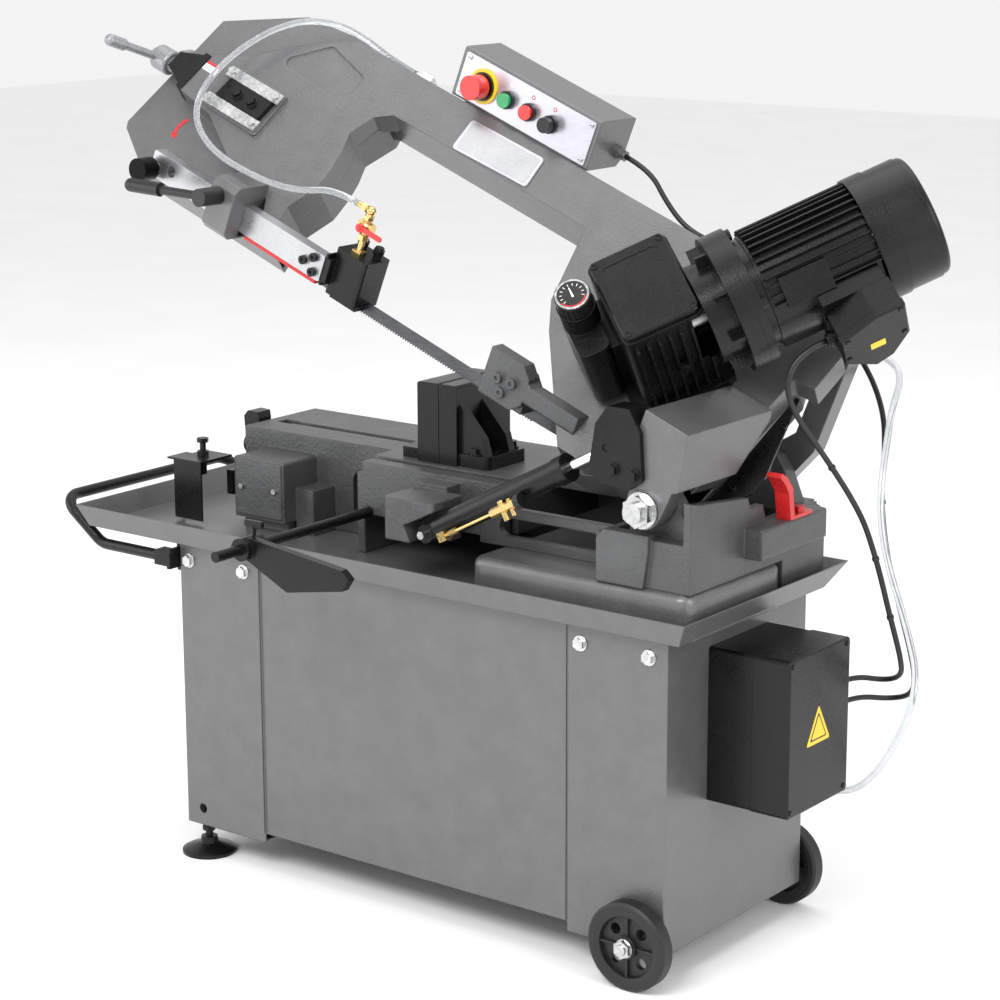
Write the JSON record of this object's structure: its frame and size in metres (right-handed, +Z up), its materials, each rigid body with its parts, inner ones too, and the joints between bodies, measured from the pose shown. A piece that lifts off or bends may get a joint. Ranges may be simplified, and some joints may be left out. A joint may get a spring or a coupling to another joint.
{
  "type": "horizontal metal-cutting band saw",
  "caption": "Horizontal metal-cutting band saw on a cabinet stand, with pivoting saw head, vise, feed cylinder, chip tray, control box, gear motor and wheels",
  "frame": {"origin": "bottom centre of the bounding box of everything except the free cables and hoses; the floor is z = 0", "axes": "+X towards the motor end, +Y away from the operator, +Z up"},
  "size_m": [1.4364, 0.6785, 1.3204],
  "materials": {
    "grey_paint": "satin grey paint",
    "cast_grey": "textured dark grey paint on casting",
    "black_paint": "satin black",
    "zinc": "zinc plated",
    "ground_steel": "ground steel",
    "blade_steel": "blued band steel",
    "chrome_rod": "hard chrome",
    "alloy": "cast light grey",
    "light_paint": "light grey paint",
    "brass": "turned brass",
    "black_plastic": "matt black",
    "red_plastic": "gloss red",
    "green_plastic": "gloss green",
    "red_paint": "gloss red",
    "panel_metal": "brushed panel",
    "rubber": "matt black",
    "tyre": "matt black",
    "clear_hose": "clear flexible tube",
    "bronze": "worm wheel bronze"
  },
  "bodies": {
    "frame": {"cabinet_stand": "grey_paint", "chip_tray": "grey_paint", "base_casting": "cast_grey", "frame_fasteners": "zinc", "lift_handle": "black_paint", "head_stop": "black_paint", "stop_rod": "black_paint", "electrical_box": "black_paint", "cable_glands": "black_plastic", "motor_cable": "rubber", "control_cable": "rubber", "coolant_hose_lower": "clear_hose"},
    "front_wheel": {"transport_wheel_front": "tyre"},
    "rear_wheel": {"transport_wheel_rear": "tyre"},
    "front_foot": {"levelling_foot_front": "black_paint"},
    "rear_foot": {"levelling_foot_rear": "black_paint"},
    "work_stop": {"stop_arm": "black_paint"},
    "vise_crank": {"vise_screw": "black_paint"},
    "vise_moving_jaw": {"moving_jaw": "black_paint"},
    "vise_fixed_jaw": {"fixed_jaw": "black_paint"},
    "latch": {"latch_hook": "red_paint"},
    "feed_cylinder": {"cylinder_barrel": "black_paint", "cylinder_valve": "brass"},
    "feed_valve_knob": {"valve_knob": "black_plastic"},
    "feed_rod": {"cylinder_rod": "chrome_rod"},
    "head": {"bow_casting": "grey_paint", "wheel_guards": "grey_paint", "rear_plate": "black_paint", "blade": "blade_steel", "head_fittings": "zinc", "tension_bracket": "black_paint", "gearbox_housing": "black_paint", "gearbox_cover": "black_paint", "motor_body": "black_paint", "motor_fan_cover": "black_paint", "terminal_box": "black_paint", "speed_unit": "black_paint", "control_box": "grey_paint", "control_panel": "panel_metal", "button_bezels": "black_plastic", "guide_clamp": "grey_paint", "fixed_guide": "cast_grey", "cylinder_bracket": "black_paint", "coolant_hose_upper": "clear_hose"},
    "drive": {"drive_wheel": "cast_grey", "worm_wheel": "bronze"},
    "idler": {"idler_wheel": "cast_grey"},
    "rotor": {"motor_rotor": "ground_steel"},
    "carriage": {"tension_carriage": "black_paint"},
    "tension_screw": {"tension_handle": "light_paint"},
    "dial": {"speed_dial": "black_plastic"},
    "estop": {"estop_button": "red_plastic"},
    "start": {"start_button": "green_plastic"},
    "stop": {"stop_button": "red_plastic"},
    "selector": {"selector_knob": "black_plastic"},
    "guide": {"guide_arm": "alloy", "guide_head": "black_paint", "coolant_valve": "brass"},
    "guide_lever": {"clamp_lever": "black_plastic"},
    "coolant_lever": {"valve_lever": "red_paint"}
  },
  "joints": [
    {"name": "head_pivot", "type": "hinge", "parent": "frame", "child": "head", "pos_m": [0.42778, 0.087, 0.698], "axis": [0, 1, 0], "range_deg": [-19.8, 0], "deforming": ["motor_cable", "control_cable", "coolant_hose_lower"]},
    {"name": "cylinder_swing", "type": "hinge", "parent": "frame", "child": "feed_cylinder", "pos_m": [0.03478, -0.078, 0.602], "axis": [0, 1, 0], "range_deg": [-1, 3]},
    {"name": "cylinder_stroke", "type": "slide", "parent": "feed_cylinder", "child": "feed_rod", "axis": [0.8847, 0, 0.4661], "range_m": [-0.04, 0.002]},
    {"name": "feed_valve_turn", "type": "hinge", "parent": "feed_cylinder", "child": "feed_valve_knob", "pos_m": [0.21917, -0.105, 0.68105], "axis": [0.8847, 0, 0.4661], "range_deg": [-90, 180]},
    {"name": "drive_wheel_spin", "type": "hinge", "parent": "head", "child": "drive", "pos_m": [0.30842, 0.15214, 0.82774], "axis": [0.2626, -0.7071, 0.6565], "continuous": true},
    {"name": "idler_wheel_spin", "type": "hinge", "parent": "carriage", "child": "idler", "pos_m": [-0.4975, 0.15214, 1.15009], "axis": [0.2626, -0.7071, 0.6565], "continuous": true},
    {"name": "motor_spin", "type": "hinge", "parent": "head", "child": "rotor", "pos_m": [0.38966, 0.00285, 0.92386], "axis": [0.6678, 0.6243, 0.4053], "continuous": true},
    {"name": "tension_slide", "type": "slide", "parent": "head", "child": "carriage", "axis": [-0.9285, 0, 0.3714], "range_m": [-0.004, 0]},
    {"name": "tension_turn", "type": "hinge", "parent": "head", "child": "tension_screw", "pos_m": [-0.66765, 0.12527, 1.24708], "axis": [-0.9285, 0, 0.3714], "range_deg": [-720, 0]},
    {"name": "speed_dial_turn", "type": "hinge", "parent": "head", "child": "dial", "pos_m": [0.28912, -0.06505, 0.9671], "axis": [0.2626, -0.7071, 0.6565], "range_deg": [-135, 135]},
    {"name": "emergency_stop_press", "type": "slide", "parent": "head", "child": "estop", "axis": [0, 1, 0], "range_m": [0, 0.0035], "stiffness_N_per_m": 2500, "springref_m": -0.001},
    {"name": "start_press", "type": "slide", "parent": "head", "child": "start", "axis": [0, 1, 0], "range_m": [0, 0.0035], "stiffness_N_per_m": 800, "springref_m": -0.001},
    {"name": "stop_press", "type": "slide", "parent": "head", "child": "stop", "axis": [0, 1, 0], "range_m": [0, 0.0035], "stiffness_N_per_m": 800, "springref_m": -0.001},
    {"name": "selector_turn", "type": "hinge", "parent": "head", "child": "selector", "pos_m": [0.0183, 0.237, 1.17411], "axis": [0, -1, 0], "range_deg": [-45, 45]},
    {"name": "guide_slide", "type": "slide", "parent": "head", "child": "guide", "axis": [0.9285, 0, -0.3714], "range_m": [0, 0.12], "deforming": ["coolant_hose_upper"]},
    {"name": "clamp_lever_turn", "type": "hinge", "parent": "head", "child": "guide_lever", "pos_m": [-0.40341, -0.053, 1.06491], "axis": [0, -1, 0], "range_deg": [-20, 60]},
    {"name": "coolant_lever_turn", "type": "hinge", "parent": "guide", "child": "coolant_lever", "pos_m": [-0.1607, 0.007, 1.02815], "axis": [0, -1, 0], "range_deg": [0, 90]},
    {"name": "vise_jaw_slide", "type": "slide", "parent": "frame", "child": "vise_moving_jaw", "axis": [-1, 0, 0], "range_m": [0, 0.28]},
    {"name": "vise_crank_turn", "type": "hinge", "parent": "frame", "child": "vise_crank", "pos_m": [-0.51323, 0.155, 0.624], "axis": [1, 0, 0], "range_deg": [0, 20160]},
    {"name": "fixed_jaw_swivel", "type": "hinge", "parent": "frame", "child": "vise_fixed_jaw", "pos_m": [0.01077, 0.068, 0.68], "axis": [0, 0, 1], "range_deg": [-30, 0]},
    {"name": "work_stop_turn", "type": "hinge", "parent": "frame", "child": "work_stop", "pos_m": [-0.15222, -0.263, 0.59], "axis": [0, 1, 0], "range_deg": [-60, 20]},
    {"name": "front_wheel_spin", "type": "hinge", "parent": "frame", "child": "front_wheel", "pos_m": [0.42778, -0.118, 0.066], "axis": [0, 1, 0], "continuous": true},
    {"name": "rear_wheel_spin", "type": "hinge", "parent": "frame", "child": "rear_wheel", "pos_m": [0.42778, 0.292, 0.066], "axis": [0, 1, 0], "continuous": true},
    {"name": "front_foot_adjust", "type": "slide", "parent": "frame", "child": "front_foot", "axis": [0, 0, -1], "range_m": [0, 0.02]},
    {"name": "rear_foot_adjust", "type": "slide", "parent": "frame", "child": "rear_foot", "axis": [0, 0, -1], "range_m": [0, 0.02]},
    {"name": "latch_turn", "type": "hinge", "parent": "frame", "child": "latch", "pos_m": [0.52077, 0.161, 0.66], "axis": [0, 0, 1], "range_deg": [0, 100]}
  ],
  "couplings": [
    {"joint": "cylinder_stroke", "follows": "head_pivot", "m_per_rad": 0.094},
    {"joint": "cylinder_swing", "follows": "head_pivot", "ratio": -0.0745},
    {"joint": "idler_wheel_spin", "follows": "drive_wheel_spin", "ratio": 1},
    {"joint": "motor_spin", "follows": "drive_wheel_spin", "ratio": -30},
    {"joint": "vise_jaw_slide", "follows": "vise_crank_turn", "m_per_rad": 0.00079577},
    {"joint": "tension_slide", "follows": "tension_turn", "m_per_rad": 0.00031831}
  ]
}
